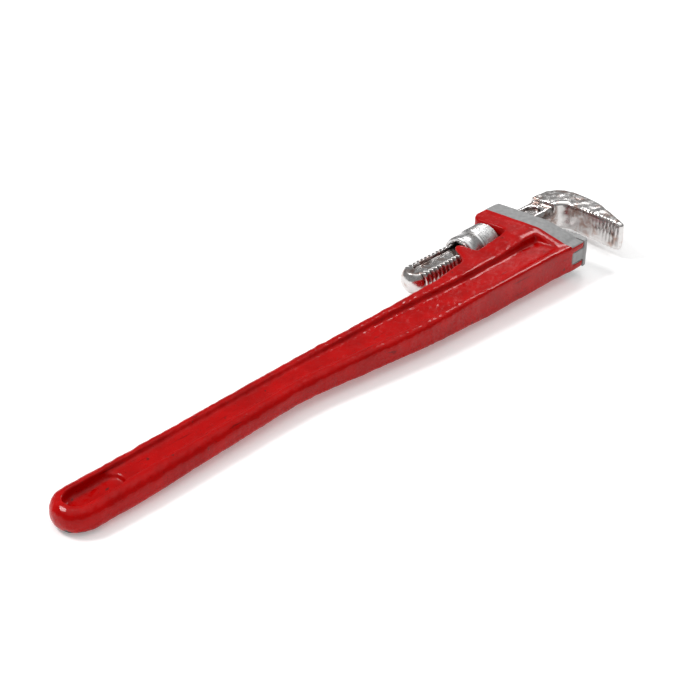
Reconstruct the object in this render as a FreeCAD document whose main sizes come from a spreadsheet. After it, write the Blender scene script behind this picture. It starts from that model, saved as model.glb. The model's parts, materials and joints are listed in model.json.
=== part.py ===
import FreeCAD, Part
import Sketcher
import math
import os
import re

# A heavy-duty straight pipe wrench, lying on its side.
#
# Every piece is drawn about the hook jaw's axis: x = 0 where the collar's raised band ends, +x towards
# the hook jaw, y = 0 on the threaded shank's axis, z = 0 on the middle plane of the casting. One Placement
# then lifts each piece so that the row's origin is on the band's lower face, under the shank's axis.

doc = FreeCAD.newDocument("pipe_wrench")

# ---------------------------------------------------------------- driving sizes, in millimetres and degrees
SIZES = {
    "handle_reach": (492, "collar end to handle tip"),
    "head_thickness": (38, "over the two raised bands, the face the wrench lies on"),
    "band_width": (17, "raised bare band along x"),
    "band_height": (1.2, "how far the band stands off the casting"),
    "heel_thickness": (23.2, "casting over the ears"),
    "bend_offset": (37, "crease where the head starts to slope, from the axis"),
    "slope_foot": (63, "where the slope ends, from the axis"),
    "back_offset": (72, "back of the head, from the axis"),
    "collar_length": (36, "collar from the nut window to the band's edge"),
    "collar_rim": (1.8, "casting past the band round the bore"),
    "collar_wall": (5.4, "casting beyond the shank on the far side"),
    "collar_corner": (10, "round on the collar's lower outer corner"),
    "window_length": (38, "nut window along x"),
    "nut_side_gap": (2, "window floor to the nut"),
    "horn_length": (7, "flat crest of the horn under the nut"),
    "horn_thickness": (26, "casting over the horn's cheeks"),
    "horn_crest": (1, "horn's crest below the axis"),
    "waist_station": (299, "thinnest place of the handle"),
    "waist_width": (32, "handle's width there"),
    "waist_thickness": (16, "handle's thickness there"),
    "waist_axis": (37.5, "handle's centre line there, from the axis"),
    "root_station": (190, "where the handle widens into the head"),
    "root_back": (66.5, "back edge there, from the axis"),
    "root_far": (23.5, "far edge there, from the axis"),
    "root_thickness": (19.6, "handle's thickness there"),
    "grip_width": (35.4, "width of the rounded end"),
    "grip_axis": (43, "centre line of the rounded end, from the axis"),
    "grip_thickness": (17.6, "thickness of the rounded end"),
    "flange_width": (8.6, "rim of the I-section"),
    "web_half": (5.2, "half thickness of the web"),
    "eye_length": (40, "blind oval pocket in the rounded end, as wide as the web"),
    "eye_floor": (2, "half thickness of its floor"),
    "shank_radius": (13, "thread crest radius"),
    "shank_thickness": (17.5, "across the shank's flats"),
    "shank_tail": (125, "centre of the shank's rounded end"),
    "bore_side_gap": (0.35, "bore to shank, far side and flats"),
    "bore_near_gap": (2.4, "bore to shank on the side it rocks towards"),
    "thread_pitch": (4.7, "jaw thread"),
    "thread_depth": (2.2, "jaw thread"),
    "thread_end": (4, "where the thread stops, before the band's edge"),
    "thread_gap": (0.35, "flank and crest clearance in the nut"),
    "recess_width": (13, "long recess in the shank's flats"),
    "recess_depth": (3, "its depth"),
    "hook_thickness": (24.5, "hook, across z"),
    "mouth_gap": (40.6, "heel jaw's tooth crests to the hook jaw's, at the throat"),
    "jaw_lean": (9.5, "how much nearer the hook's tip is than its throat"),
    "hook_back": (78, "outermost point of the hook"),
    "hook_tip": (80, "nose of the hook, from the axis"),
    "hook_round": (3, "round on the hook's outer edges"),
    "throat_radius": (10, "round inside the hook"),
    "tooth_pitch": (3.65, "teeth of both jaws"),
    "tooth_depth": (1.9, "teeth of both jaws"),
    "tooth_count": (12, "teeth of each jaw"),
    "tooth_draft": (1.3, "how far the teeth fall back at the jaw's sides"),
    "heel_height": (9.4, "heel jaw's tooth crests above the ears"),
    "heel_end_gap": (1, "bore's near side to the heel jaw's end"),
    "tongue_thickness": (10, "heel jaw's tongue"),
    "tongue_depth": (15, "how deep the tongue goes in"),
    "tongue_start": (36, "tongue's end, from the axis"),
    "fit_gap": (0.05, "tongue in its slot, pin in its hole"),
    "pin_radius": (3, "heel jaw pin"),
    "pin_offset": (50, "pin, from the axis"),
    "pin_cover": (4.5, "casting left over the pin's blind end"),
    "nut_wall": (4.5, "knurled band outside the shank's crests"),
    "nut_end_gap": (1.5, "window's end to the nut's, on each side"),
    "knurl_width": (16, "knurled band along x"),
    "knurl_depth": (0.45, "knurl"),
    "knurl_count": (48, "knurl grooves round the nut"),
    "hub_step": (1.1, "hub's radius below the band's"),
    "leaf_length": (30, "flat spring"),
    "leaf_width": (12, "flat spring"),
    "leaf_gauge": (0.8, "flat spring"),
    "leaf_bow": (0.7, "rise of the leaf at its middle"),
    "coil_radius": (3.4, "coil spring, outside"),
    "coil_wire": (0.9, "coil spring wire's diameter"),
    "coil_length": (9, "coil spring, fitted"),
    "coil_station": (18, "spring hole, from the band's edge"),
    "rivet_radius": (1.5, "spring rivet"),
}

# sizes that follow from the ones above
NUT_RADIUS = "(shank_radius + nut_wall)"
NUT_LENGTH = "(window_length - 2 * nut_end_gap)"
WINDOW_FLOOR = "(shank_radius + nut_wall + nut_side_gap)"
HEEL_START = "(shank_radius + bore_near_gap + heel_end_gap)"
BORE_HALF = "(shank_thickness / 2 + bore_side_gap)"

sizes = doc.addObject("Spreadsheet::Sheet", "Sizes")
for row, (alias, (value, meaning)) in enumerate(SIZES.items(), start=1):
    sizes.set(f"A{row}", meaning)
    sizes.set(f"B{row}", str(value))
    sizes.setAlias(f"B{row}", alias)
doc.recompute()


def cell(formula):
    """Turn a formula in bare aliases into one that reads them from the sheet."""
    return re.sub(r"[a-z]+(_[a-z]+)+", lambda word: "Sizes." + word.group(0), str(formula))


def number(formula):
    """The present value of such a formula."""
    result = sizes.evalExpression(cell(formula))
    return float(getattr(result, "Value", result))


# ---------------------------------------------------------------- sketching and feature helpers
def new_body(label, x="0"):
    """A body with its Label and its place in the row's frame."""
    body = doc.addObject("PartDesign::Body", label)
    body.Label = label
    body.setExpression("Placement.Base.x", cell(f"band_width / 2 + ({x})"))
    body.setExpression("Placement.Base.z", cell("head_thickness / 2"))
    return body


def origin_part(body, role):
    """One of the body's own origin planes or axes."""
    return next(item for item in body.Origin.OriginFeatures if item.Role == role)


def new_sketch(body, name, plane, offset="0"):
    """An empty sketch on one of the body's origin planes, moved along that plane's normal."""
    sketch = body.newObject("Sketcher::SketchObject", name)
    sketch.AttachmentSupport = (origin_part(body, plane), "")
    sketch.MapMode = "FlatFace"
    sketch.setExpression("AttachmentOffset.Base.z", cell(offset))
    return sketch


def hold(sketch, geometry, position, x, y):
    """Tie one point of a sketch to the sheet, by its two distances from the sketch's origin."""
    for kind, formula in (("DistanceX", x), ("DistanceY", y)):
        value = number(formula)
        index = sketch.addConstraint(Sketcher.Constraint(kind, -1, 1, geometry, position, value))
        sketch.setExpression(f"Constraints[{index}]", cell(formula))


def draw_loop(sketch, corners):
    """Draw a closed outline. A corner is (x, y) or (x, y, radius), as formulas in the sheet's aliases."""
    count = len(corners)
    points = [FreeCAD.Vector(number(corner[0]), number(corner[1]), 0) for corner in corners]
    ways = [(points[(i + 1) % count] - points[i]).normalize() for i in range(count)]
    starts, ends, arcs = list(points), list(points), {}
    for i, corner in enumerate(corners):
        if len(corner) < 3:
            continue
        radius = number(corner[2])
        before, after = ways[i - 1], ways[i]
        turn = math.atan2(before.cross(after).z, before.dot(after))
        tangent = radius * abs(math.tan(turn / 2))
        ends[i] = points[i] - before * tangent
        starts[i] = points[i] + after * tangent
        left = FreeCAD.Vector(-before.y, before.x, 0) * math.copysign(1, turn)
        centre = ends[i] + left * radius
        first, last = (ends[i], starts[i]) if turn > 0 else (starts[i], ends[i])
        angles = [math.atan2(p.y - centre.y, p.x - centre.x) for p in (first, last)]
        if angles[1] < angles[0]:
            angles[1] += 2 * math.pi
        circle = Part.Circle(centre, FreeCAD.Vector(0, 0, 1), radius)
        arcs[i] = (Part.ArcOfCircle(circle, *angles), turn > 0)
    lines = [
        sketch.addGeometry(Part.LineSegment(starts[i], ends[(i + 1) % count]), False) for i in range(count)
    ]
    for i, corner in enumerate(corners):
        if i not in arcs:
            sketch.addConstraint(Sketcher.Constraint("Coincident", lines[i - 1], 2, lines[i], 1))
            hold(sketch, lines[i], 1, corner[0], corner[1])
            continue
        shape, turns_left = arcs[i]
        arc = sketch.addGeometry(shape, False)
        entry, leave = (1, 2) if turns_left else (2, 1)
        sketch.addConstraint(Sketcher.Constraint("Tangent", lines[i - 1], 2, arc, entry))
        sketch.addConstraint(Sketcher.Constraint("Tangent", lines[i], 1, arc, leave))
        radius_index = sketch.addConstraint(Sketcher.Constraint("Radius", arc, number(corner[2])))
        sketch.setExpression(f"Constraints[{radius_index}]", cell(corner[2]))
        corner_point = sketch.addGeometry(Part.Point(points[i]), True)
        sketch.addConstraint(Sketcher.Constraint("PointOnObject", corner_point, 1, lines[i - 1]))
        sketch.addConstraint(Sketcher.Constraint("PointOnObject", corner_point, 1, lines[i]))
        hold(sketch, corner_point, 1, corner[0], corner[1])


def draw_circle(sketch, x, y, radius):
    """A circle held by its centre and radius."""
    shape = Part.Circle(FreeCAD.Vector(number(x), number(y), 0), FreeCAD.Vector(0, 0, 1), number(radius))
    circle = sketch.addGeometry(shape, False)
    index = sketch.addConstraint(Sketcher.Constraint("Radius", circle, number(radius)))
    sketch.setExpression(f"Constraints[{index}]", cell(radius))
    hold(sketch, circle, 3, x, y)


def outline(body, name, plane, corners, offset="0"):
    """A sketch that holds one closed outline."""
    sketch = new_sketch(body, name, plane, offset)
    draw_loop(sketch, corners)
    return sketch


def rectangle(low_x, low_y, high_x, high_y):
    """The four corners of a rectangle, as formulas."""
    return [(low_x, low_y), (high_x, low_y), (high_x, high_y), (low_x, high_y)]


def mirrored_z(corners):
    """The same outline on the other side of the sketch's horizontal axis, drawn the other way round."""
    return [(corner[0], f"-({corner[1]})", *corner[2:]) for corner in reversed(corners)]


def feature(body, kind, name, sketch, length=None, reverse=False, both=False):
    """A PartDesign feature made from a sketch, with its length bound to the sheet."""
    made = body.newObject("PartDesign::" + kind, name)
    made.Profile = (sketch, [""])
    made.Reversed = reverse
    if length is not None:
        made.setExpression("Length", cell(length))
        made.SideType = "Symmetric" if both else "One side"
    sketch.Visibility = False
    return made


volumes = {}


def changed(body, step, grows):
    """Recompute and make sure that the newest feature really added or removed material."""
    before = volumes.get(body.Name, 0.0)
    doc.recompute()
    after = step.Shape.Volume
    if (after > before) != grows or abs(after - before) < 0.01:
        raise RuntimeError(f"{body.Label}.{step.Name}: {before:.1f} -> {after:.1f} mm3, {step.State}")
    volumes[body.Name] = after
    return step


def pad(body, name, sketch, length, both=False, reverse=False):
    return changed(body, feature(body, "Pad", name, sketch, length, reverse, both), True)


def pocket(body, name, sketch, length, both=False, reverse=False):
    return changed(body, feature(body, "Pocket", name, sketch, length, reverse, both), False)


def revolve(body, name, sketch, axis):
    """A full turn of a sketch about one of the body's own axes."""
    made = body.newObject("PartDesign::Revolution", name)
    made.Profile = (sketch, [""])
    made.ReferenceAxis = (origin_part(body, axis), [""])
    made.Angle = 360
    return changed(body, made, True)


def loft(body, kind, name, sketches):
    """A straight-sided loft through sketches on parallel planes."""
    made = body.newObject("PartDesign::" + kind, name)
    made.Profile = (sketches[0], [""])
    made.Sections = [(sketch, [""]) for sketch in sketches[1:]]
    made.Ruled = True
    return changed(body, made, kind == "AdditiveLoft")


def mirror_over(body, name, originals, plane):
    """Repeat features on the other side of one of the body's planes."""
    made = body.newObject("PartDesign::Mirrored", name)
    made.Originals = originals
    made.MirrorPlane = (origin_part(body, plane), [""])
    body.Tip = made
    return changed(body, made, False)


def screw(body, kind, name, sketch, axis, pitch, height):
    """A helical feature about one of the body's axes."""
    made = body.newObject("PartDesign::" + kind, name)
    made.Profile = (sketch, [""])
    made.ReferenceAxis = (origin_part(body, axis), [""])
    made.Mode = "pitch-height-angle"
    made.setExpression("Pitch", cell(pitch))
    made.setExpression("Height", cell(height))
    made.LeftHanded = False
    return changed(body, made, kind == "AdditiveHelix")


def round_edges(body, name, base, radius, chosen):
    """A fillet on the edges of one feature that a test picks."""
    names = [f"Edge{i}" for i, edge in enumerate(base.Shape.Edges, start=1) if chosen(edge)]
    made = body.newObject("PartDesign::Fillet", name)
    made.Base = (base, names)
    made.setExpression("Radius", cell(radius))
    return changed(body, made, False)


# ---------------------------------------------------------------- handle: one casting
def handle_plan():
    """Outline of the casting seen from the side, round from the collar's end to the tip and back."""
    tip = "-handle_reach"
    grip_start = "grip_width * 1.5 - handle_reach"
    grip_back = "-grip_axis - grip_width / 2"
    grip_far = "-grip_axis + grip_width / 2"
    grip_round = "grip_width / 2 - 0.1"
    horn_start = "-collar_length - window_length - horn_length"
    return [
        ("0", "-back_offset", "1.5"),
        ("0", f"0.2 - {HEEL_START}"),
        ("collar_rim", f"0.2 - {HEEL_START}"),
        ("collar_rim", "shank_radius + bore_side_gap + collar_wall", "2.5"),
        ("-collar_length", "shank_radius + bore_side_gap + collar_wall", "collar_corner"),
        ("-collar_length", f"-{WINDOW_FLOOR}", "3"),
        ("-collar_length - window_length", f"-{WINDOW_FLOOR}", "3"),
        ("-collar_length - window_length", "-horn_crest", "3"),
        (horn_start, "-horn_crest", "6"),
        (f"{horn_start} - 12", "-root_far + 2", "14"),
        (f"{horn_start} - 50", "-root_far - 1.5", "100"),
        ("-root_station", "-root_far", "200"),
        ("-waist_station", "waist_width / 2 - waist_axis", "300"),
        (grip_start, grip_far, "150"),
        (tip, grip_far, grip_round),
        (tip, grip_back, grip_round),
        (grip_start, grip_back, "150"),
        ("-waist_station", "-waist_width / 2 - waist_axis", "300"),
        ("-root_station", "-root_back", "300"),
        ("-collar_length", "2 - back_offset", "60"),
        ("-12", "-back_offset", "20"),
    ]


def side_cut():
    """What is cut away above the casting, seen along y: the thickness from tip to collar."""
    above = "head_thickness"
    past_tip = "-handle_reach - 5"
    window_low = "-collar_length - window_length"
    return [
        (past_tip, "grip_thickness / 2"),
        ("grip_width - handle_reach", "grip_thickness / 2", "200"),
        ("-waist_station", "waist_thickness / 2", "400"),
        ("-root_station", "root_thickness / 2", "300"),
        (f"{window_low} - 30", "horn_thickness / 2 - 0.6", "60"),
        (window_low, "horn_thickness / 2", "20"),
        ("2 - collar_length", "head_thickness / 2 - band_height", "12"),
        ("2 - collar_length", above),
        (past_tip, above),
    ]


def slope_cut():
    """What is cut away above the head, seen along x: the crease and the slope to the ears."""
    flat = "head_thickness / 2 - band_height"
    return [
        ("-bend_offset", flat, "12"),
        ("-slope_foot", "heel_thickness / 2", "8"),
        ("-back_offset - 5", "heel_thickness / 2"),
        ("-back_offset - 5", "head_thickness"),
        ("-bend_offset + 4", "head_thickness"),
        ("-bend_offset + 4", flat),
    ]


def band_section():
    """The raised band, seen along x: it follows the crease and the slope."""
    return [
        ("shank_radius + bore_side_gap + collar_wall - 1.5", "0"),
        ("shank_radius + bore_side_gap + collar_wall - 1.5", "head_thickness / 2", "1"),
        ("-bend_offset", "head_thickness / 2", "12"),
        ("-slope_foot", "heel_thickness / 2 + band_height", "0.8"),
        ("-slope_foot", "0"),
    ]


def web_section(body, index, station, far, near, floor):
    """One cross-section of the long groove that leaves the I-section's web."""
    corners = rectangle(far, floor, near, "head_thickness")
    return outline(body, f"web_{index}", "YZ_Plane", corners, station)


def make_handle():
    body = new_body("handle")
    blank = outline(body, "plan", "XY_Plane", handle_plan())
    pad(body, "blank", blank, "head_thickness - 2 * band_height", both=True)

    sides = new_sketch(body, "sides", "XZ_Plane")
    draw_loop(sides, side_cut())
    draw_loop(sides, mirrored_z(side_cut()))
    pocket(body, "thickness", sides, "6 * back_offset", both=True)

    slopes = new_sketch(body, "slopes", "YZ_Plane", "-handle_reach - 10")
    draw_loop(slopes, slope_cut())
    draw_loop(slopes, mirrored_z(slope_cut()))
    pocket(body, "slope", slopes, "handle_reach + 20", reverse=True)

    bands = new_sketch(body, "band_profile", "YZ_Plane", "-band_width")
    draw_loop(bands, band_section())
    pad(body, "band", bands, "band_width")
    lower = new_sketch(body, "lower_band_profile", "YZ_Plane", "-band_width")
    draw_loop(lower, mirrored_z(band_section()))
    pad(body, "lower_band", lower, "band_width")

    window_low = "-collar_length - window_length"
    rim_round = "grip_width / 2 - flange_width"
    sections = [
        web_section(body, 0, "grip_width / 2 - handle_reach + 0.2", f"-grip_axis - ({rim_round})",
                    f"-grip_axis + {rim_round}", "web_half"),
        web_section(body, 1, "-waist_station", "-waist_axis - waist_width / 2 + flange_width",
                    "-waist_axis + waist_width / 2 - flange_width", "web_half"),
        web_section(body, 2, "-root_station", "-root_back + flange_width",
                    "-root_far - flange_width", "web_half + 0.4"),
        web_section(body, 3, f"{window_low} - 40", "-back_offset + 9", "-bend_offset - 1", "web_half + 2.2"),
        web_section(body, 4, "-band_width - 8", "-back_offset + 9", "-bend_offset - 4", "web_half + 5"),
    ]
    groove = loft(body, "SubtractiveLoft", "web", sections)
    mirror_over(body, "other_web", [groove], "XY_Plane")

    eye_start = "flange_width - handle_reach"
    eye = outline(body, "eye_plan", "XY_Plane", [
        (eye_start, f"-grip_axis - ({rim_round})", f"{rim_round} - 0.1"),
        (f"{eye_start} + eye_length", f"-grip_axis - ({rim_round})", f"{rim_round} - 0.1"),
        (f"{eye_start} + eye_length", f"-grip_axis + {rim_round}", f"{rim_round} - 0.1"),
        (eye_start, f"-grip_axis + {rim_round}", f"{rim_round} - 0.1"),
    ], "eye_floor")
    eye_cut = pocket(body, "eye", eye, "grip_thickness", reverse=True)
    mirror_over(body, "other_eye", [eye_cut], "XY_Plane")

    bore = outline(body, "bore_section", "YZ_Plane", rectangle(
        "-shank_radius - bore_near_gap", f"-{BORE_HALF}", "shank_radius + bore_side_gap", BORE_HALF),
        "-collar_length - 1")
    pocket(body, "bore", bore, "collar_length + collar_rim + 2", reverse=True)
    channel = outline(body, "channel_section", "YZ_Plane", rectangle(
        "-shank_radius - bore_side_gap", f"-{BORE_HALF}", "shank_radius", BORE_HALF),
        f"{window_low} - horn_length - 50")
    pocket(body, "channel", channel, "horn_length + 51", reverse=True)

    leaf_room = "leaf_width / 2 + 0.5"
    cavity = outline(body, "leaf_cavity_section", "YZ_Plane", rectangle(
        "-shank_radius - bore_near_gap - 2.4", f"-({leaf_room})", "-shank_radius - bore_near_gap + 0.5", leaf_room),
        "-collar_length - 1")
    cavity_length = "collar_length + 1 - coil_station + leaf_length / 2 + 1.6"
    pocket(body, "leaf_cavity", cavity, cavity_length, reverse=True)
    spring_hole = new_sketch(body, "spring_hole_plan", "XZ_Plane", "shank_radius + bore_near_gap + 1")
    draw_circle(spring_hole, "-coil_station", "0", "coil_radius + 0.4")
    pocket(body, "spring_hole", spring_hole, "coil_length + 2.4", reverse=True)

    slot_half = "tongue_thickness / 2 + fit_gap"
    slot = outline(body, "slot_section", "XZ_Plane", rectangle(
        "-tongue_depth - fit_gap", f"-({slot_half})", "5", slot_half), "tongue_start - fit_gap")
    pocket(body, "slot", slot, "back_offset", reverse=True)
    pin_hole = new_sketch(body, "pin_hole_plan", "XY_Plane", "-head_thickness / 2")
    draw_circle(pin_hole, "-tongue_depth / 2", "-pin_offset", "pin_radius + fit_gap")
    pocket(body, "pin_hole", pin_hole, "head_thickness / 2 + heel_thickness / 2 - pin_cover + 1", reverse=True)
    return body


# ---------------------------------------------------------------- teeth, shared by both jaws
def tooth_strip(body, name, crest, lean, start, into, z, fall):
    """Outline of a row of teeth at one height z.

    crest is x of the first crest, lean is how much x falls from the first crest to the last, start is the
    first tooth's distance from the axis, into is +1 if the jaw's metal is on the +x side, fall is how far
    the whole row steps back into the metal.
    """
    count = int(number("tooth_count"))
    base = f"({crest}) + ({into}) * ({fall})"
    corners = []
    for tooth in range(count):
        along = f"-({start}) - {tooth} * tooth_pitch"
        drop = f"({lean}) * {tooth} / tooth_count"
        corners.append((f"{base} - {drop} + ({into}) * tooth_depth", along))
        corners.append((f"{base} - {drop}", f"{along} - tooth_pitch * 0.72"))
    last = f"-({start}) - tooth_count * tooth_pitch"
    corners.append((f"{base} - ({lean}) + ({into}) * tooth_depth", last))
    corners.append((f"{base} - ({lean}) + ({into}) * (tooth_depth + 2.5)", last))
    corners.append((f"{base} + ({into}) * (tooth_depth + 2.5)", f"-({start})"))
    return outline(body, name, "XY_Plane", corners, z)


def make_teeth(body, crest, lean, start, into, half_thickness):
    """Teeth that fall back a little from the middle plane to both sides."""
    strips = [
        tooth_strip(body, "teeth_low", crest, lean, start, into, f"-({half_thickness})", "tooth_draft"),
        tooth_strip(body, "teeth_middle", crest, lean, start, into, "0", "0"),
        tooth_strip(body, "teeth_high", crest, lean, start, into, half_thickness, "tooth_draft"),
    ]
    return loft(body, "AdditiveLoft", "teeth", strips)


# ---------------------------------------------------------------- heel jaw
def make_heel_jaw():
    body = new_body("heel_jaw")
    root = "heel_height - tooth_depth - tooth_draft"
    block = outline(body, "block_plan", "XY_Plane", [
        ("0", f"-{HEEL_START}"),
        ("0", "-back_offset"),
        (f"{root} - 1", "-back_offset", "3"),
        (root, "-back_offset + 6", "3"),
        (root, f"-{HEEL_START}", "2"),
    ])
    pad(body, "block", block, "heel_thickness", both=True)
    make_teeth(body, "heel_height", "0", f"{HEEL_START} + 3", -1, "heel_thickness / 2")
    tongue = outline(body, "tongue_plan", "XY_Plane", rectangle(
        "-tongue_depth", "-back_offset + 0.6", "0.5", "-tongue_start"))
    pad(body, "tongue", tongue, "tongue_thickness", both=True)
    hole = new_sketch(body, "pin_hole_plan", "XY_Plane", "-head_thickness / 2")
    draw_circle(hole, "-tongue_depth / 2", "-pin_offset", "pin_radius + fit_gap")
    pocket(body, "pin_hole", hole, "head_thickness", reverse=True)
    return body


# ---------------------------------------------------------------- heel jaw pin
def make_pin():
    body = new_body("heel_jaw_pin")
    low = "-heel_thickness / 2 - 2.5"
    circle = new_sketch(body, "section", "XY_Plane", low)
    draw_circle(circle, "-tongue_depth / 2", "-pin_offset", "pin_radius")
    pad(body, "shaft", circle, "heel_thickness + 2.5 - pin_cover")
    return body


# ---------------------------------------------------------------- hook jaw
def thread_groove(body, name, root, crest, station):
    """Half section of one thread groove, between two radii, centred on a station along x."""
    root_half = "thread_pitch * 0.16"
    crest_half = "thread_pitch * 0.34"
    return outline(body, name, "XY_Plane", [
        (f"{station} - {root_half}", root),
        (f"{station} + {root_half}", root),
        (f"{station} + {crest_half}", crest),
        (f"{station} - {crest_half}", crest),
    ])


def make_hook_jaw():
    body = new_body("hook_jaw")
    crest = "heel_height + mouth_gap"
    tail = "-shank_tail"
    neck_end = f"{crest} - 6"
    bar = outline(body, "shank_profile", "XY_Plane", [
        (f"{tail} - shank_radius", "0"),
        (f"{tail} - shank_radius", "shank_radius", "shank_radius - 0.05"),
        (neck_end, "shank_radius"),
        (neck_end, "0"),
    ])
    revolve(body, "shank", bar, "X_Axis")
    flats = new_sketch(body, "flats_profile", "XZ_Plane")
    flat = rectangle(f"{tail} - shank_radius - 1", "shank_thickness / 2", f"{neck_end} + 1", "shank_radius + 2")
    draw_loop(flats, flat)
    draw_loop(flats, mirrored_z(flat))
    pocket(body, "flats", flats, "4 * shank_radius", both=True)

    groove = thread_groove(body, "thread_section", "shank_radius - thread_depth", "shank_radius + 0.02",
                           f"{tail} - shank_radius - 2")
    screw(body, "SubtractiveHelix", "thread", groove, "X_Axis", "thread_pitch",
          "shank_tail + shank_radius + 2 - thread_end")

    root = f"{crest} + tooth_depth + tooth_draft"
    hook = outline(body, "hook_plan", "XY_Plane", [
        (f"{crest} - 8", "-shank_radius + 0.4"),
        (f"{root}", "-shank_radius + 0.4", "throat_radius"),
        (f"{root} - jaw_lean", "-hook_tip + 3", "2"),
        (f"{root} - jaw_lean + 5", "-hook_tip", "3"),
        ("hook_back - 6", "-40", "45"),
        ("hook_back - 1.5", "-18", "30"),
        ("hook_back", "shank_radius - 2", "20"),
        (f"{crest} - 3", "shank_radius - 0.4", "12"),
        (f"{crest} - 8", "shank_radius - 0.4"),
    ])
    block = pad(body, "hook", hook, "hook_thickness", both=True)
    half = number("hook_thickness / 2")
    outer = number(f"{root} + 1")

    def on_outer_edge(edge):
        box = edge.BoundBox
        flat = box.ZLength < 0.01 and abs(abs(box.ZMax) - half) < 0.01
        middle = edge.valueAt((edge.FirstParameter + edge.LastParameter) / 2)
        return flat and (middle.x > outer or middle.y > 0)

    round_edges(body, "hook_rounds", block, "hook_round", on_outer_edge)
    make_teeth(body, crest, "jaw_lean * 0.86", "hook_tip - 5.5 - tooth_count * tooth_pitch", 1, "hook_thickness / 2")

    recess_start = f"{tail} - 1"
    recess_end = f"{crest} - 16"
    recess = outline(body, "recess_plan", "XY_Plane", [
        (recess_start, "-recess_width / 2", "recess_width / 2 - 0.1"),
        (recess_end, "-recess_width / 2", "recess_width / 2 - 0.1"),
        (recess_end, "recess_width / 2", "recess_width / 2 - 0.1"),
        (recess_start, "recess_width / 2", "recess_width / 2 - 0.1"),
    ], "shank_thickness / 2 - recess_depth")
    dish = pocket(body, "recess", recess, "recess_depth + 1", reverse=True)
    mirror_over(body, "other_recess", [dish], "XY_Plane")
    return body


# ---------------------------------------------------------------- adjusting nut
NUT_STATION = "-collar_length - window_length / 2"


def make_nut():
    body = new_body("adjusting_nut", NUT_STATION)
    bore = "shank_radius - thread_depth + thread_gap"
    half = f"{NUT_LENGTH} / 2"
    knurl_start = f"{half} - knurl_width"
    hub = f"{NUT_RADIUS} - hub_step"
    profile = outline(body, "profile", "XY_Plane", [
        (f"-{half}", f"{bore} + 0.8"),
        (f"-{half}", hub, "2.5"),
        (f"{knurl_start} - 1.2", hub),
        (f"{knurl_start} - 0.6", f"{hub} - 0.5"),
        (knurl_start, f"{hub} - 0.5"),
        (f"{knurl_start} + 0.6", NUT_RADIUS),
        (f"{half} - 1", NUT_RADIUS),
        (half, f"{NUT_RADIUS} - 1"),
        (half, f"{bore} + 0.8"),
        (f"{half} - 0.8", bore),
        (f"-{half} + 0.8", bore),
    ])
    revolve(body, "ring", profile, "X_Axis")
    start = f"-(ceil(({half}) / thread_pitch) + 2) * thread_pitch"
    phase = nut_phase()
    groove = outline(body, "thread_section", "XY_Plane", [
        (f"{start} + {phase} - thread_pitch * 0.34 - thread_gap / 2", f"{bore} - 0.02"),
        (f"{start} + {phase} + thread_pitch * 0.34 + thread_gap / 2", f"{bore} - 0.02"),
        (f"{start} + {phase} + thread_pitch * 0.16 + thread_gap / 2", "shank_radius + thread_gap"),
        (f"{start} + {phase} - thread_pitch * 0.16 - thread_gap / 2", "shank_radius + thread_gap"),
    ])
    screw(body, "SubtractiveHelix", "thread", groove, "X_Axis", "thread_pitch", f"{NUT_LENGTH} + 4 * thread_pitch")
    notch = outline(body, "knurl_section", "YZ_Plane", [
        ("-knurl_depth", f"{NUT_RADIUS} + 0.1"),
        ("0", f"{NUT_RADIUS} - knurl_depth"),
        ("knurl_depth", f"{NUT_RADIUS} + 0.1"),
    ], f"{knurl_start} - 0.2")
    cut = pocket(body, "knurl_groove", notch, "knurl_width + 1", reverse=True)
    ring = body.newObject("PartDesign::PolarPattern", "knurl")
    ring.Originals = [cut]
    ring.Axis = (origin_part(body, "X_Axis"), [""])
    ring.Angle = 360
    ring.setExpression("Occurrences", cell("knurl_count"))
    body.Tip = ring
    changed(body, ring, False)
    return body


def nut_phase():
    """Offset along x that puts the nut's ridges in the middle of the shank's grooves at rest."""
    shank_groove = "(-shank_tail - shank_radius - 2)"
    return f"(mod({shank_groove} - ({NUT_STATION}) + 1000 * thread_pitch; thread_pitch) + thread_pitch / 2)"


# ---------------------------------------------------------------- the springs behind the shank
LEAF_TOP = "-shank_radius - 0.35"


def make_flat_spring():
    """A leaf that bows towards the shank: a strip between two arcs."""
    body = new_body("flat_spring")
    start = "-coil_station - leaf_length / 2"
    end = "-coil_station + leaf_length / 2"
    low = f"{LEAF_TOP} - leaf_bow"
    strip = outline(body, "strip_profile", "XY_Plane", [
        (start, low),
        ("-coil_station", LEAF_TOP, "100"),
        (end, low),
        (end, f"{low} - leaf_gauge"),
        ("-coil_station", f"{LEAF_TOP} - leaf_gauge", "99"),
        (start, f"{low} - leaf_gauge"),
    ])
    pad(body, "strip", strip, "leaf_width", both=True)
    hole = new_sketch(body, "rivet_hole_plan", "XZ_Plane", "shank_radius - 1")
    draw_circle(hole, "-coil_station", "0", "rivet_radius")
    pocket(body, "rivet_hole", hole, "6", reverse=True)
    return body


def make_rivet():
    """A flush rivet through the leaf, with a washer-like foot that spreads over the coil's last turn."""
    body = new_body("spring_rivet", "-coil_station")
    top = f"{LEAF_TOP} - 0.15"
    leaf_back = f"{LEAF_TOP} - leaf_gauge - 0.15"
    foot = "coil_radius - 0.6"
    profile = outline(body, "profile", "XY_Plane", [
        ("0", top),
        ("rivet_radius", top),
        ("rivet_radius", leaf_back),
        (foot, leaf_back),
        (foot, f"{leaf_back} - 0.8"),
        ("rivet_radius * 0.7", f"{leaf_back} - 0.8"),
        ("rivet_radius * 0.7", f"{leaf_back} - 3"),
        ("0", f"{leaf_back} - 3"),
    ])
    revolve(body, "rivet", profile, "Y_Axis")
    return body


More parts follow.
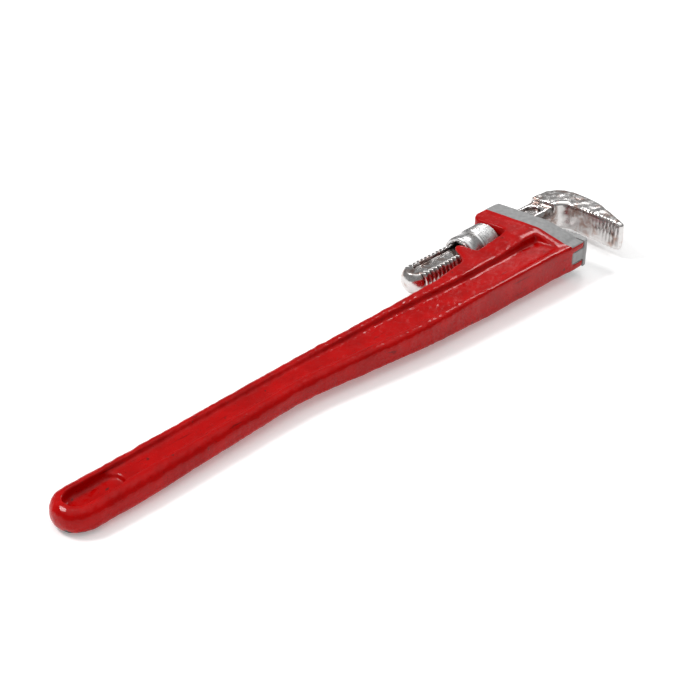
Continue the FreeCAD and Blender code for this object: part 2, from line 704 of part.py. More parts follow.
def make_coil_spring():
    """A compression coil that stands in the hole behind the leaf."""
    body = new_body("coil_spring", "-coil_station")
    top = f"{LEAF_TOP} - leaf_gauge - 1 - coil_wire / 2"
    section = new_sketch(body, "wire_section", "XY_Plane")
    draw_circle(section, "coil_radius - coil_wire / 2", f"{top} - coil_length", "coil_wire / 2")
    screw(body, "AdditiveHelix", "coil", section, "Y_Axis", "coil_length / 5", "coil_length")
    return body


# ---------------------------------------------------------------- build, check and write
MAKERS = [
    make_handle,
    make_heel_jaw,
    make_pin,
    make_hook_jaw,
    make_nut,
    make_flat_spring,
    make_rivet,
    make_coil_spring,
]
pieces = [maker() for maker in MAKERS]
doc.recompute()

for item in doc.Objects:
    if "Invalid" in item.State or "Error" in item.State:
        raise RuntimeError(f"{item.Label} failed: {item.State}")
for piece in pieces:
    if piece.Shape.isNull() or not piece.Shape.isValid() or len(piece.Shape.Solids) != 1:
        raise RuntimeError(f"{piece.Label} is not one valid solid")

os.makedirs("parts", exist_ok=True)
for piece in pieces:
    box = piece.Shape.optimalBoundingBox(True, False)
    piece.Shape.exportStep(os.path.join("parts", piece.Label + ".step"))
    low = f"{box.XMin:.2f}, {box.YMin:.2f}, {box.ZMin:.2f}"
    high = f"{box.XMax:.2f}, {box.YMax:.2f}, {box.ZMax:.2f}"
    print(f"{piece.Label}: {piece.Shape.Volume:.0f} mm3, from ({low}) to ({high})")
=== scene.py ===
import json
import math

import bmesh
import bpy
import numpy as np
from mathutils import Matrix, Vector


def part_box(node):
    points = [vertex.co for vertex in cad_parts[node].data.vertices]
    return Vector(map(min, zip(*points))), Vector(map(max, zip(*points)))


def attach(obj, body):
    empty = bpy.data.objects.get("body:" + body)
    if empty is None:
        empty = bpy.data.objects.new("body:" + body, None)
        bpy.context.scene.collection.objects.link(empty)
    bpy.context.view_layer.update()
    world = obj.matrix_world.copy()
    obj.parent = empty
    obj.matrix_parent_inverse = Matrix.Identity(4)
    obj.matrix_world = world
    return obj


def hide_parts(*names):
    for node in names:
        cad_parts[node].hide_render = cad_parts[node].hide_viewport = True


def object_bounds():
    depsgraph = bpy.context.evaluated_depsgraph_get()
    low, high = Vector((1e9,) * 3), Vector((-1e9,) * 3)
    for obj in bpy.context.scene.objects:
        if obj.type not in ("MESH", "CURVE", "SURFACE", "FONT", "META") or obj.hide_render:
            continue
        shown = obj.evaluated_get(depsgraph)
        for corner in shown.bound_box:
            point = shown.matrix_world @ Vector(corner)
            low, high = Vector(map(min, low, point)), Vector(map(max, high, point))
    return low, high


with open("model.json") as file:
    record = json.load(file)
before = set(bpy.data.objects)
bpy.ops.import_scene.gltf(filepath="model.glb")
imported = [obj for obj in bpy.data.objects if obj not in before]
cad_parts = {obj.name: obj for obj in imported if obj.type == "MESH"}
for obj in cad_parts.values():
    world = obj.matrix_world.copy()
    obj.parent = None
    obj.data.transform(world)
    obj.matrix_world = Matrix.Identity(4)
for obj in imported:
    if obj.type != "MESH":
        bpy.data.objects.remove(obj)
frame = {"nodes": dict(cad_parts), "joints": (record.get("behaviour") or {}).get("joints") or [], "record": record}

# %% [markdown]
# # A heavy-duty straight pipe wrench
# The wrench lies on its side: a red enamelled casting that is handle and head in one, a bright hook jaw
# that slides through the head's collar, a knurled nut that moves it, and a grey heel jaw pinned in the
# head's end. The solids in the frame are exact but plain. Here each visible piece gets the surface that
# the real process leaves: sand-cast lumps under thick enamel, dull grey paint, wavy plating, a rolled knurl.

MM = 0.001
cad_box = [list(corner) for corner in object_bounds()]
print("frame box in mm:", [[round(value / MM, 1) for value in corner] for corner in cad_box])

joints = {joint["name"]: joint for joint in frame["joints"]}
shank_axis = np.array(joints["nut_spin"]["pos_m"])
middle_height = shank_axis[2]
thread_pitch = 2 * math.pi / abs(frame["record"]["behaviour"]["couplings"][0]["ratio"])
handle_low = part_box("handle")[0]
print("middle plane at", round(middle_height / MM, 2), "mm, thread pitch", round(thread_pitch / MM, 2), "mm")

# %% [markdown]
# ## Reading and writing whole arrays
# Every shape below is worked out for all its points at once. Two helpers move arrays in and out of a
# mesh, one closes a grid into a surface, and one takes a clean copy of a solid from the frame: its loose
# triangles are merged, so that modifiers see one skin.

# %% Mesh helpers
def points_of(mesh):
    """All vertex positions of a mesh as an (n, 3) array."""
    flat = np.empty(len(mesh.vertices) * 3)
    mesh.vertices.foreach_get("co", flat)
    return flat.reshape(-1, 3)


def normals_of(mesh):
    """All vertex normals of a mesh as an (n, 3) array."""
    flat = np.empty(len(mesh.vertices) * 3)
    mesh.vertex_normals.foreach_get("vector", flat)
    return flat.reshape(-1, 3)


def put_points(mesh, points):
    """Write vertex positions back."""
    mesh.vertices.foreach_set("co", np.ascontiguousarray(points, dtype=np.float32).ravel())
    mesh.update()


def new_piece(name, mesh, material):
    """Link a mesh as an object at the origin, shade it smooth and give it its material."""
    piece = bpy.data.objects.new(name, mesh)
    bpy.context.scene.collection.objects.link(piece)
    mesh.materials.clear()
    mesh.materials.append(material)
    mesh.shade_smooth()
    return piece


def ring_surface(name, rings):
    """Join an (m, n, 3) grid into a closed doughnut-like skin: both directions wrap round."""
    rows, columns = rings.shape[:2]
    index = np.arange(rows * columns).reshape(rows, columns)
    ahead, aside = np.roll(index, -1, 0), np.roll(index, -1, 1)
    faces = np.stack([index, aside, np.roll(ahead, -1, 1), ahead], -1).reshape(-1, 4)
    mesh = bpy.data.meshes.new(name)
    mesh.from_pydata(rings.reshape(-1, 3), [], faces)
    mesh.update()
    return mesh


def outward(mesh):
    """Turn all faces of a closed mesh to point out of it."""
    work = bmesh.new()
    work.from_mesh(mesh)
    bmesh.ops.recalc_face_normals(work, faces=work.faces)
    work.to_mesh(mesh)
    work.free()
    return mesh


def clean_copy(node):
    """A copy of a frame solid's mesh with its loose triangles merged into one skin."""
    mesh = frame["nodes"][node].data.copy()
    work = bmesh.new()
    work.from_mesh(mesh)
    bmesh.ops.remove_doubles(work, verts=work.verts, dist=0.002 * MM)
    work.to_mesh(mesh)
    work.free()
    return mesh


def through_modifiers(mesh, *settings):
    """Run a mesh through modifiers, given as (type, {values}), and return the finished mesh."""
    carrier = bpy.data.objects.new("carrier", mesh)
    bpy.context.scene.collection.objects.link(carrier)
    for kind, values in settings:
        modifier = carrier.modifiers.new(kind, kind)
        for key, value in values.items():
            setattr(modifier, key, value)
    shown = carrier.evaluated_get(bpy.context.evaluated_depsgraph_get())
    result = bpy.data.meshes.new_from_object(shown)
    bpy.data.objects.remove(carrier)
    return result


# %% [markdown]
# ## Lumps without randomness
# A casting's skin is uneven at many sizes. Adding some dozens of plane waves whose directions point all
# ways gives a smooth lumpy field that costs one array expression, and a seeded generator makes it the
# same every time.

# %% A field of lumps
def lumps(points, size, seed, waves=28):
    """Sum of plane waves, about -1 to 1: each has a wavelength near `size` and a seeded way and phase."""
    dice = np.random.default_rng(seed)
    ways = dice.normal(size=(waves, 3))
    ways /= np.linalg.norm(ways, axis=1, keepdims=True)
    lengths = size * dice.uniform(0.7, 1.4, waves)
    phases = dice.uniform(0, 2 * math.pi, waves)
    angles = points @ (ways * (2 * math.pi / lengths)[:, None]).T + phases
    return np.sin(angles).sum(1) / math.sqrt(waves)


def ease(values, low, high):
    """0 below low, 1 above high, and a smooth ramp between."""
    share = np.clip((values - low) / (high - low), 0, 1)
    return share * share * (3 - 2 * share)


# %% [markdown]
# ## Materials, one helper first
# Every finish here is a Principled shader fed by noise in the piece's own Object coordinates. The helper
# builds the node tree from short calls, and numbers that don't change over the surface stay on the
# shader's own sockets.

# %% Node helpers
class Finish:
    """A material under construction: `add` makes a node, `feed` sets or links one of its sockets."""

    def __init__(self, name, **values):
        self.material = bpy.data.materials.new(name)
        self.material.use_nodes = True
        self.tree = self.material.node_tree
        self.shader = self.tree.nodes["Principled BSDF"]
        self.place = self.add("ShaderNodeTexCoord").outputs["Object"]
        for socket, value in values.items():
            self.shader.inputs[socket.replace("_", " ")].default_value = value

    def add(self, kind, inputs=None, **settings):
        node = self.tree.nodes.new(kind)
        for key, value in settings.items():
            setattr(node, key, value)
        for socket, value in (inputs or {}).items():
            self.feed(node.inputs[socket], value)
        return node

    def feed(self, socket, value):
        if isinstance(value, bpy.types.NodeSocket):
            self.tree.links.new(value, socket)
        else:
            socket.default_value = value

    def noise(self, size, detail=3.0, distortion=0.0, stretch=None):
        """Noise whose features are about `size` metres; stretch scales the three axes."""
        place = self.place
        if stretch:
            place = self.add("ShaderNodeMapping", {"Vector": place, "Scale": stretch}).outputs[0]
        values = {"Vector": place, "Scale": 1 / size, "Detail": detail, "Distortion": distortion}
        return self.add("ShaderNodeTexNoise", values).outputs["Fac"]

    def cells(self, size, randomness=1.0):
        """Distance to the nearest of scattered points about `size` metres apart."""
        values = {"Vector": self.place, "Scale": 1 / size, "Randomness": randomness}
        return self.add("ShaderNodeTexVoronoi", values).outputs["Distance"]

    def ramp(self, fac, *stops):
        """A colour ramp with stops (position, colour or grey)."""
        node = self.add("ShaderNodeValToRGB", {"Fac": fac})
        stops = [(at, (c, c, c, 1) if isinstance(c, float) else (*c, 1)) for at, c in stops]
        while len(node.color_ramp.elements) < len(stops):
            node.color_ramp.elements.new(1.0)
        for element, (at, colour) in zip(node.color_ramp.elements, stops):
            element.position = at
            element.color = colour
        return node.outputs["Color"]

    def mix(self, fac, first, second, kind="MIX"):
        node = self.add("ShaderNodeMix", data_type="RGBA", blend_type=kind)
        self.feed(node.inputs[0], fac)
        self.feed(node.inputs[6], first if isinstance(first, bpy.types.NodeSocket) else (*first, 1))
        self.feed(node.inputs[7], second if isinstance(second, bpy.types.NodeSocket) else (*second, 1))
        return node.outputs[2]

    def sum(self, *parts):
        """Weighted sum of (socket, weight) pairs."""
        total = None
        for socket, weight in parts:
            scaled = self.add("ShaderNodeMath", {0: socket, 1: weight}, operation="MULTIPLY").outputs[0]
            total = scaled if total is None else self.add("ShaderNodeMath", {0: total, 1: scaled}).outputs[0]
        return total

    def attribute(self, name):
        return self.add("ShaderNodeAttribute", attribute_name=name).outputs["Fac"]

    def band_mask(self, half_width):
        """1 within half_width of x = 0 where the surface faces up or down, with a slightly wavering edge."""
        across = self.add("ShaderNodeSeparateXYZ", {0: self.place}).outputs["X"]
        away = self.add("ShaderNodeMath", {0: across}, operation="ABSOLUTE").outputs[0]
        wander = self.sum((away, 1.0), (self.noise(6 * MM), 0.8 * MM))
        inside = self.add("ShaderNodeMath", {0: wander, 1: half_width + 0.4 * MM}, operation="LESS_THAN")
        faces = self.add("ShaderNodeMath", {0: self.attribute("face"), 1: 0.5}, operation="GREATER_THAN")
        both = {0: inside.outputs[0], 1: faces.outputs[0]}
        return self.add("ShaderNodeMath", both, operation="MULTIPLY").outputs[0]

    def done(self, colour=None, roughness=None, height=None, depth=0.0, strength=1.0):
        """Join colour, roughness and a height field in metres to the shader."""
        if colour is not None:
            self.feed(self.shader.inputs["Base Color"], colour)
        if roughness is not None:
            self.feed(self.shader.inputs["Roughness"], roughness)
        if height is not None:
            bump = self.add("ShaderNodeBump", {"Height": height, "Distance": depth, "Strength": strength})
            self.feed(self.shader.inputs["Normal"], bump.outputs[0])
        return self.material


# %% [markdown]
# ## Red enamel
# The casting is dipped or sprayed with thick gloss enamel over rough iron. The colour is one deep red; what
# makes it look real is the gloss breaking over lumps and pits, a slightly darker red where the coat is
# thin, thin dark streaks along the handle, and a few chips that show dark primer at the tip. A light clear
# coat on the shader gives the second, sharper highlight of a wet coat. The band across the head is bare
# of enamel, so the same material turns grey and dull there, on the faces that look up and down.

# %% Red enamel
BAND_HALF = 8.5 * MM
COAT = 0.14


def red_enamel():
    finish = Finish("red enamel", Coat_Roughness=0.05, Specular_IOR_Level=0.1)
    tone = finish.ramp(finish.noise(18 * MM, 4.0), (0.3, (0.38, 0.0, 0.0)), (0.7, (0.52, 0.0002, 0.0002)))
    pits = finish.ramp(finish.cells(2.6 * MM), (0.05, 1.0), (0.16, 0.0))
    worn = finish.mix(pits, tone, (0.20, 0.0005, 0.0005))
    streaks = finish.noise(2.2 * MM, 2.0, 0.3, (0.07, 1.0, 0.8))
    worn = finish.mix(finish.ramp(streaks, (0.66, 0.0), (0.72, 0.55)), worn, (0.10, 0.0005, 0.0005))
    chipped = finish.mix(finish.attribute("chip"), worn, (0.035, 0.012, 0.01))
    grey = finish.ramp(finish.noise(3 * MM, 5.0), (0.3, (0.27, 0.27, 0.27)), (0.7, (0.37, 0.37, 0.37)))
    bare = finish.band_mask(BAND_HALF)
    gloss = finish.ramp(finish.noise(5 * MM), (0.35, 0.14), (0.7, 0.34))
    roughness = finish.mix(bare, gloss, (0.5, 0.5, 0.5))
    coat = finish.add("ShaderNodeMath", {0: bare, 1: -COAT, 2: COAT}, operation="MULTIPLY_ADD")
    finish.feed(finish.shader.inputs["Coat Weight"], coat.outputs[0])
    orange_peel, grain = finish.noise(3.2 * MM, 2.0), finish.noise(1.1 * MM, 2.0)
    height = finish.sum((orange_peel, 1.0), (pits, -0.35), (grain, 0.22))
    return finish.done(finish.mix(bare, chipped, grey), roughness, height, 0.32 * MM, 0.55)


# %% [markdown]
# ## Grey paint
# The heel jaw carries a dull light grey paint with a fine grain. A little uneven tone and a fine bump
# keep it from looking like plastic.

# %% Grey paint
def grey_paint(name, dark, light):
    finish = Finish(name, Metallic=0.15, Specular_IOR_Level=0.4)
    tone = finish.ramp(finish.noise(6 * MM, 5.0), (0.3, (dark,) * 3), (0.7, (light,) * 3))
    grain = finish.noise(0.8 * MM, 2.0)
    speckle = finish.mix(finish.ramp(grain, (0.42, 0.0), (0.62, 0.35)), tone, (light * 1.35,) * 3)
    roughness = finish.ramp(finish.noise(4 * MM), (0.3, 0.45), (0.7, 0.62))
    return finish.done(speckle, roughness, grain, 0.12 * MM, 0.5)


# %% [markdown]
# ## Wavy bright plating
# The hook jaw and the nut are plated over an uneven surface, so what they mirror is drawn out into wavy
# white, brown and pinkish patches. A metal with low roughness and a long soft bump does that, and a faint
# warm stain adds the brown. The hollows, such as the roots of the teeth and of the thread, are darkened in
# the colour: painted shade, with dark grime. How hollow a point lies is measured later, on the finished net, and
# stored as an attribute.

# %% Bright metals
def bright_metal(name, light, stain, rough, wave, wave_depth):
    finish = Finish(name, Metallic=1.0)
    blotch = finish.noise(9 * MM, 4.0, 0.6)
    tone = finish.ramp(blotch, (0.34, stain), (0.5, light), (0.8, tuple(min(1.0, c * 1.1) for c in light)))
    # painted shade in the hollows, with dark grime: the colour darkens where the hollow attribute is high
    hollow_shade_and_grime = finish.mix(finish.attribute("hollow"), tone, tuple(0.28 * c for c in stain))
    roughness = finish.ramp(finish.noise(3 * MM, 4.0), (0.3, rough), (0.75, rough + 0.18))
    height = finish.sum((finish.noise(wave, 2.0, 0.8), 1.0), (finish.noise(wave / 4, 2.0), 0.12))
    return finish.done(hollow_shade_and_grime, roughness, height, wave_depth, 0.8)


red = red_enamel()
heel_grey = grey_paint("heel jaw grey", 0.25, 0.34)
plated = bright_metal("plated jaw", (0.66, 0.64, 0.63), (0.42, 0.30, 0.26), 0.12, 11 * MM, 0.28 * MM)
nut_metal = bright_metal("plated nut", (0.64, 0.64, 0.64), (0.45, 0.42, 0.40), 0.22, 5 * MM, 0.25 * MM)
spring_steel = bright_metal("spring steel", (0.36, 0.36, 0.37), (0.16, 0.14, 0.13), 0.3, 3 * MM, 0.05 * MM)
pin_steel = bright_metal("pin steel", (0.52, 0.52, 0.52), (0.3, 0.27, 0.25), 0.3, 3 * MM, 0.05 * MM)
print("six finishes made")

# %% [markdown]
# ## The casting as an even net
# A sand casting has no sharp edges: every corner is rounded by the pattern, the sand and then the paint. So
# the exact solid is rebuilt as an even net of small squares (a voxel remesh), which forgets its sharp
# edges. A light smoothing afterwards takes the steps out of the net.

# %% A net of small squares
def voxel_skin(node, voxel, passes):
    """The solid as an even net, smoothed `passes` times."""
    return through_modifiers(
        clean_copy(node),
        ("REMESH", {"mode": "VOXEL", "voxel_size": voxel, "use_smooth_shade": True}),
        ("SMOOTH", {"factor": 0.5, "iterations": passes}),
    )


# %% [markdown]
# ## Rounding the long edges
# The handle's long outer edges are rounded much further than the rest, because a hand holds them. A section
# through the handle is a box, so a point near one of its corners is moved onto the circle that touches the
# two sides: measure how far it is from the edge in plan and from the top, and project it from the circle's
# centre. The plan's edges are read from the net itself, in short stretches of x.

# %% Soft edges
BIN = 4 * MM
GRIP_WIDTH = 35.4 * MM
LEAST_FLAT = 0.3 * MM
LEAST_RADIUS = 0.5 * MM
EDGE_STATIONS = shank_axis[0] + np.array([-440, -330, -150, -75, -45]) * MM
EDGE_RADII = np.array([7.4, 6.6, 4.6, 3.2, 0.0]) * MM


def reach(stations, values):
    """The largest value in each stretch of x, read back at every station."""
    bins = ((stations - stations.min()) / BIN).astype(int)
    most = np.full(bins.max() + 1, -np.inf)
    np.maximum.at(most, bins, values)
    centres = stations.min() + (np.arange(len(most)) + 0.5) * BIN
    return np.interp(stations, centres, most)


def soft_edges(points):
    """Round the handle's long outer edges: strongly at the tip, hardly at the head."""
    x, y, z = points[:, 0], points[:, 1], points[:, 2] - middle_height
    far, back, half = reach(x, y), -reach(x, -y), reach(x, np.abs(z))
    tip_radius = GRIP_WIDTH / 2
    widest = np.argmin(np.abs(x - handle_low.x - GRIP_WIDTH))
    tip_x, tip_y = handle_low.x + tip_radius, (far + back)[widest] / 2
    out_x, out_y = x - tip_x, y - tip_y
    from_tip = np.hypot(out_x, out_y)
    at_tip = x < tip_x
    edge = np.where(at_tip, tip_radius - from_tip, np.minimum(far - y, y - back))
    side = np.where(y > (far + back) / 2, 1.0, -1.0)
    way_x = np.where(at_tip, out_x / np.maximum(from_tip, MM), 0.0)
    way_y = np.where(at_tip, out_y / np.maximum(from_tip, MM), side)
    radius = np.interp(x, EDGE_STATIONS, EDGE_RADII)
    radius = np.minimum(radius, half - LEAST_FLAT)
    inward, upward = radius - edge, np.abs(z) - (half - radius)
    corner = (inward > 0) & (upward > 0) & (radius > LEAST_RADIUS)
    shrink = np.where(corner, radius / np.maximum(np.hypot(inward, upward), 1e-9), 1.0)
    shrink = np.minimum(shrink, 1.0)
    move = inward * (1 - shrink)
    rounded = points.copy()
    rounded[:, 0] -= np.where(corner, way_x * move, 0)
    rounded[:, 1] -= np.where(corner, way_y * move, 0)
    rounded[:, 2] -= np.where(corner, np.sign(z) * upward * (1 - shrink), 0)
    return rounded


# %% [markdown]
# ## Smoothing where it is wanted
# This smoothing takes a weight for each point, so teeth can stay crisp beside a soft outer edge. It also
# measures hollows: smoothing fills them, so how far a point moves out says how hollow it lies.

# %% Weighted smoothing
FILL_PASSES = 14


def relaxed(mesh, weight, passes):
    """The net's points, each pulled towards the mean of its neighbours by its own weight."""
    points = points_of(mesh)
    pairs = np.empty(len(mesh.edges) * 2, dtype=np.int32)
    mesh.edges.foreach_get("vertices", pairs)
    first, second = pairs.reshape(-1, 2).T
    count = len(points)
    degree = np.bincount(first, minlength=count) + np.bincount(second, minlength=count)
    share = (weight / np.maximum(degree, 1))[:, None]
    for _ in range(passes):
        total = np.stack([np.bincount(first, points[second, axis], count)
                          + np.bincount(second, points[first, axis], count) for axis in range(3)], 1)
        points = points + share * (total - points * degree[:, None])
    return points


def mark_hollows(mesh, shallow, deep):
    """Store how hollow each point lies: smoothing fills hollows, so it moves their points outwards."""
    filled = relaxed(mesh, np.full(len(mesh.vertices), 0.5), FILL_PASSES) - points_of(mesh)
    outwards = (filled * normals_of(mesh)).sum(1)
    hollow = ease(outwards, shallow, deep)
    mesh.attributes.new("hollow", "FLOAT", "POINT").data.foreach_set("value", hollow.astype(np.float32))


# %% [markdown]
# ## Handle and head
# The rounded net gets lumps of two sizes, pushed in and out along its normals, with calmer ones on the
# head. It is kept just inside the frame's box, so the visual model is never larger than the solids. Two
# attributes then tell the enamel where it is chipped, mostly low at the tip, and which faces look up or down.

# %% Handle and head
CAST_VOXEL = 1.15 * MM
INSET = 0.05 * MM
HEAD_CALM = 0.75

skin = voxel_skin("handle", CAST_VOXEL, 3)
put_points(skin, soft_edges(points_of(skin)))
put_points(skin, relaxed(skin, np.full(len(skin.vertices), 0.5), 5))
place = points_of(skin)
push = 0.14 * lumps(place, 14 * MM, seed=3) + 0.09 * lumps(place, 4.5 * MM, seed=4)
inside_head = ease(place[:, 0], shank_axis[0] - 80 * MM, shank_axis[0] - 50 * MM)
push *= 1 - HEAD_CALM * inside_head
place = place + normals_of(skin) * (push * MM)[:, None]
place = np.clip(place, np.array(cad_box[0]) + INSET, np.array(cad_box[1]) - INSET)
put_points(skin, place)

# %% Chips and faces
tip_share = 1 - ease(place[:, 0], handle_low.x + 4 * MM, handle_low.x + 60 * MM)
low_edge = 1 - ease(place[:, 2], middle_height - 7 * MM, middle_height - 2 * MM)
chip = ease(lumps(place, 5 * MM, seed=9) * 0.5 + tip_share * low_edge, 0.95, 1.15)
skin.attributes.new("chip", "FLOAT", "POINT").data.foreach_set("value", chip.astype(np.float32))
facing = ease(np.abs(normals_of(skin)[:, 2]), 0.45, 0.7)
skin.attributes.new("face", "FLOAT", "POINT").data.foreach_set("value", facing.astype(np.float32))

handle_piece = new_piece("handle_casting", skin, red)
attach(handle_piece, "handle")
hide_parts("handle")
print("casting:", len(skin.polygons), "squares,", round(float(np.abs(push).max()), 2), "mm deepest lump")

# %% [markdown]
# ## Hook jaw
# The jaw is a rougher, brighter casting than the handle, so it gets a finer net that keeps its teeth and
# thread, and a long low wave that makes the plating's mirror picture wander. Its outer side, which has no
# teeth to lose, is smoothed much further.

# %% Hook jaw
HOOK_VOXEL, HEEL_VOXEL = 0.62 * MM, 0.5 * MM
SOFT_PASSES = 26
SHALLOW, DEEP = 0.04 * MM, 0.3 * MM
JAW_DEPTH, JAW_LEAN, JAW_BLEND = 17 * MM, 0.18, 4 * MM


def bright_casting(node, name, voxel, passes, material, wave, depth, seed, softer=None):
    """A smoothed net of a solid with one size of low wave pushed into it; softer(points) adds smoothing."""
    mesh = voxel_skin(node, voxel, passes)
    if softer is not None:
        put_points(mesh, relaxed(mesh, 0.5 * softer(points_of(mesh)), SOFT_PASSES))
    spots = points_of(mesh)
    rise = lumps(spots, wave, seed) * depth
    put_points(mesh, spots + normals_of(mesh) * rise[:, None])
    # the hollow attribute stored here darkens the colour in hollows: painted shade, with grime
    mark_hollows(mesh, SHALLOW, DEEP)
    return new_piece(name, mesh, material)


hook_high = np.array(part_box("hook_jaw")[1])


def hook_back(points):
    """1 on the hook's outer side, past a slightly leaning plane, and 0 on its teeth and on the shank."""
    inner_face = hook_high[0] - JAW_DEPTH + JAW_LEAN * points[:, 1]
    return ease(points[:, 0], inner_face, inner_face + JAW_BLEND)


hook_piece = bright_casting("hook_jaw", "hook_jaw_casting", HOOK_VOXEL, 2, plated,
                            wave=9 * MM, depth=0.10 * MM, seed=21, softer=hook_back)
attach(hook_piece, "hook_jaw")
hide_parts("hook_jaw")
print("hook jaw:", len(hook_piece.data.polygons), "squares")

# %% [markdown]
# ## Heel jaw
# The heel jaw is a small block whose tongue drops between the head's two ears. Its teeth are cut, so it
# keeps crisper edges than the casting round it.

# %% Heel jaw
heel_piece = bright_casting("heel_jaw", "heel_jaw_block", HEEL_VOXEL, 2, heel_grey,
                            wave=8 * MM, depth=0.05 * MM, seed=31)
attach(heel_piece, "handle")
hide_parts("heel_jaw")
print("heel jaw:", len(heel_piece.data.polygons), "squares")

# %% [markdown]
# ## Adjusting nut
# The nut is turned and then knurled by a hardened roller, which raises a net of tiny diamonds on one half.
# As a surface it is simple: a ring whose section runs once round the metal, and whose radius depends on
# the angle only in the knurl, where two sets of slanting ridges cross, and in the bore, where the thread
# climbs by one pitch each turn.

# %% Adjusting nut
nut_low, nut_high = (np.array(corner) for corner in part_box("adjusting_nut"))
nut_half = (nut_high[0] - nut_low[0]) / 2
nut_centre = (nut_high[0] + nut_low[0]) / 2
band_radius = (nut_high[2] - nut_low[2]) / 2
ridge_radius, groove_radius = 11.3 * MM, 13.3 * MM
knurl_width, knurl_depth, knurl_ridges = 16 * MM, 0.42 * MM, 90
hub_step = 1.1 * MM
root_end, crest_start = 0.32, 0.62
groove_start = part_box("hook_jaw")[0].x - 2 * MM
AROUND, ALONG = 720, 34


def nut_rings():
    """Grid of the nut: rows follow the section from the hub's face over the outside, back through the bore.

    Outside: a plain hub, two turned grooves, then a band whose radius drops where two slanting
    saw-toothed waves of the angle both have their valleys. Bore: a wave of (x / pitch - turn), clipped
    flat at the crests and roots, which is a screw thread.
    """
    turn = np.arange(AROUND) / AROUND
    knurl_start = nut_half - knurl_width
    hub = band_radius - hub_step
    outside = [
        (-nut_half, groove_radius + 0.4 * MM), (-nut_half, hub - 1.6 * MM),
        (-nut_half + 0.5 * MM, hub - 0.7 * MM), (-nut_half + 1.6 * MM, hub - 0.1 * MM),
        (-nut_half + 3 * MM, hub), (knurl_start - 5.2 * MM, hub),
        (knurl_start - 4.9 * MM, hub - 0.45 * MM), (knurl_start - 4.3 * MM, hub - 0.45 * MM),
        (knurl_start - 4.0 * MM, hub), (knurl_start - 1.4 * MM, hub),
        (knurl_start - 1.1 * MM, hub - 0.6 * MM), (knurl_start - 0.4 * MM, hub - 0.6 * MM),
        (knurl_start, band_radius - 0.7 * MM),
    ]
    knurl_x = np.linspace(knurl_start + 0.5 * MM, nut_half - 1.2 * MM, ALONG)
    ending = [(nut_half - 0.6 * MM, band_radius - 0.6 * MM), (nut_half, band_radius - 1.4 * MM),
              (nut_half, groove_radius + 0.4 * MM)]
    bore_x = np.linspace(nut_half - 0.4 * MM, -nut_half + 0.4 * MM, 2 * ALONG)
    x = np.concatenate([[p[0] for p in outside], knurl_x, [p[0] for p in ending], bore_x])
    radius = np.concatenate([[p[1] for p in outside], np.full(ALONG, band_radius), [p[1] for p in ending],
                             np.full(2 * ALONG, ridge_radius)])
    grid_x = np.repeat(x[:, None], AROUND, 1)
    grid_r = np.repeat(radius[:, None], AROUND, 1)

    band = slice(len(outside), len(outside) + ALONG)
    slant = grid_x[band] / (2 * math.pi * band_radius) * knurl_ridges
    ridges = turn[None, :] * knurl_ridges
    saw_up = np.abs(((ridges + slant) % 1) * 2 - 1)
    saw_down = np.abs(((ridges - slant) % 1) * 2 - 1)
    grid_r[band] -= knurl_depth * np.maximum(saw_up, saw_down) ** 2
    bore = slice(len(x) - 2 * ALONG, len(x))
    climb = (grid_x[bore] + nut_centre - groove_start) / thread_pitch - turn[None, :]
    wave = np.abs(((climb % 1) * 2) - 1)
    raised = ease(wave, root_end, crest_start)
    grid_r[bore] = groove_radius + (ridge_radius - groove_radius) * raised
    angle = 2 * math.pi * turn[None, :]
    return np.stack([grid_x + nut_centre, grid_r * np.cos(angle) + shank_axis[1],
                     grid_r * np.sin(angle) + middle_height], -1)


nut_piece = new_piece("nut_knurled", outward(ring_surface("nut_knurled", nut_rings())), nut_metal)
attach(nut_piece, "adjusting_nut")
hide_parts("adjusting_nut")
print("nut:", len(nut_piece.data.polygons), "squares")

# %% [markdown]
# ## Pieces that stay as they are
# The pin, the leaf, its rivet and the coil are small plain steel pieces whose solids already have the
# right shape, so they only need steel on them.

# %% Small steel pieces
steel_on = {"heel_jaw_pin": pin_steel, "spring_rivet": pin_steel,
            "flat_spring": spring_steel, "coil_spring": spring_steel}
for node, material in steel_on.items():
    plain = frame["nodes"][node].data
    plain.materials.clear()
    plain.materials.append(material)
print("steel on four frame pieces")

# %% [markdown]
# ## Floor, light and camera
# The wrench is thicker at the head than at the tip, so on a table it leans a little: its tip touches and
# its head stands on the band. Instead of tilting the wrench out of the frame, the table and the camera
# are tilted under it by that same small angle. A large pale floor that glows a little keeps the shadows
# faint. The sky is bright only overhead and dim towards the horizon, so the bright metal has something
# dark to mirror. A key lamp and a weaker rim lamp add the highlights.

# %% Studio
TIP_HALF, TIP_CONTACT = 8.8 * MM, 16 * MM
rest_edge = -BAND_HALF
lean = math.atan2(middle_height - TIP_HALF, rest_edge - handle_low.x - TIP_CONTACT)


def leaned(points):
    """Turn points about the head's resting edge by the lean, from the table's frame to the wrench's."""
    shifted = np.asarray(points, float) - (rest_edge, 0, 0)
    turn = np.array([[math.cos(lean), 0, math.sin(lean)], [0, 1, 0], [-math.sin(lean), 0, math.cos(lean)]])
    return shifted @ turn.T + (rest_edge, 0, 0)


FLOOR_REACH, FLOOR_GLOW = 4, 0.25
floor_mesh = bpy.data.meshes.new("floor")
square = ((-1, -1, 0), (1, -1, 0), (1, 1, 0), (-1, 1, 0))
corners = leaned(FLOOR_REACH * np.array(square))
floor_mesh.from_pydata(corners, [], [(0, 1, 2, 3)])
paper = Finish("white paper", Roughness=0.9, Specular_IOR_Level=0.0,
               Emission_Color=(1, 1, 1, 1), Emission_Strength=FLOOR_GLOW)
floor = new_piece("floor", floor_mesh, paper.done(paper.ramp(paper.noise(0.4), (0.3, 0.93), (0.7, 0.95))))


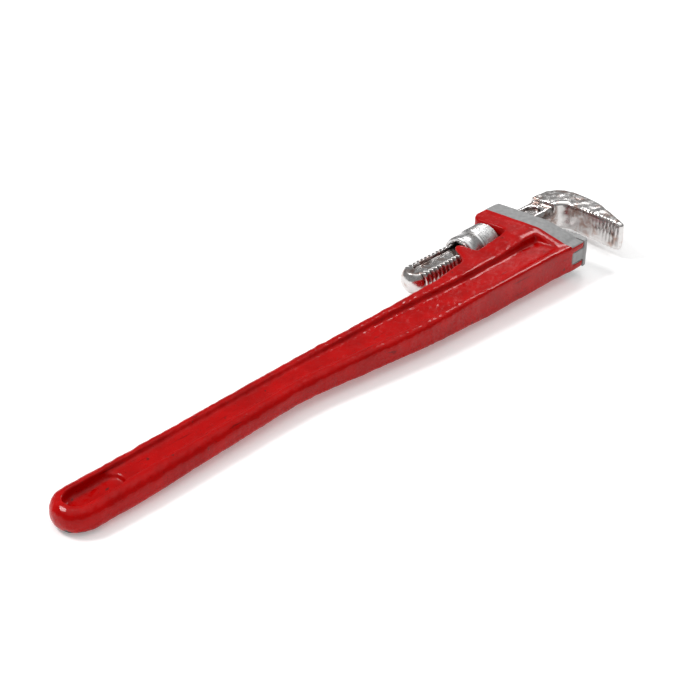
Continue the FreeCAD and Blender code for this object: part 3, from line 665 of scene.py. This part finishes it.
def aim(thing, position, target):
    """Place a lamp or camera and point its -Z axis at a target, level with the table."""
    place_vector, target_vector = leaned([position, target])
    forward = target_vector - place_vector
    forward /= np.linalg.norm(forward)
    up = leaned([(0, 0, 1)])[0] - leaned([(0, 0, 0)])[0]
    right = np.cross(forward, up)
    right /= np.linalg.norm(right)
    matrix = np.eye(4)
    matrix[:3, :3] = np.stack([right, np.cross(right, forward), -forward], 1)
    matrix[:3, 3] = place_vector
    thing.matrix_world = Matrix(matrix.tolist())


def lamp(name, position, target, size, power):
    """A round lamp of a given size in metres and power in watts."""
    data = bpy.data.lights.new(name, "AREA")
    data.shape, data.size, data.energy = "DISK", size, power
    item = bpy.data.objects.new(name, data)
    bpy.context.scene.collection.objects.link(item)
    aim(item, position, target)


lamp("key", (-0.9, 0.9, 1.5), (-0.2, 0, 0), size=0.5, power=16)
lamp("rim", (0.9, 0.4, 0.9), (0, 0, 0), size=0.4, power=4)

world = bpy.data.worlds.new("studio")
bpy.context.scene.world = world
world.use_nodes = True
nodes, links = world.node_tree.nodes, world.node_tree.links
sky = nodes["Background"]
coordinate = nodes.new("ShaderNodeTexCoord")
split = nodes.new("ShaderNodeSeparateXYZ")
ramp = nodes.new("ShaderNodeValToRGB")
stops = ((0.0, 0.30), (0.55, 0.22), (0.78, 0.55), (0.95, 1.25))
while len(ramp.color_ramp.elements) < len(stops):
    ramp.color_ramp.elements.new(1.0)
for element, (position, grey) in zip(ramp.color_ramp.elements, stops):
    element.position, element.color = position, (grey, grey, grey, 1)
links.new(coordinate.outputs["Generated"], split.inputs[0])
links.new(split.outputs["Z"], ramp.inputs["Fac"])
links.new(ramp.outputs["Color"], sky.inputs["Color"])
sky.inputs["Strength"].default_value = 1.05

camera_data = bpy.data.cameras.new("camera")
camera_data.sensor_width, camera_data.lens = 36.0, 60.07
camera_data.clip_end = 20
camera = bpy.data.objects.new("camera", camera_data)
bpy.context.scene.collection.objects.link(camera)
camera_place = np.array([-0.7505, -0.5325, 0.4285])
view_way = np.array([0.6261, 0.5984, -0.5])
aim(camera, camera_place, camera_place + view_way)
bpy.context.scene.camera = camera
bpy.context.scene.view_settings.view_transform = "Standard"
print("table leans", round(math.degrees(lean), 2), "degrees")
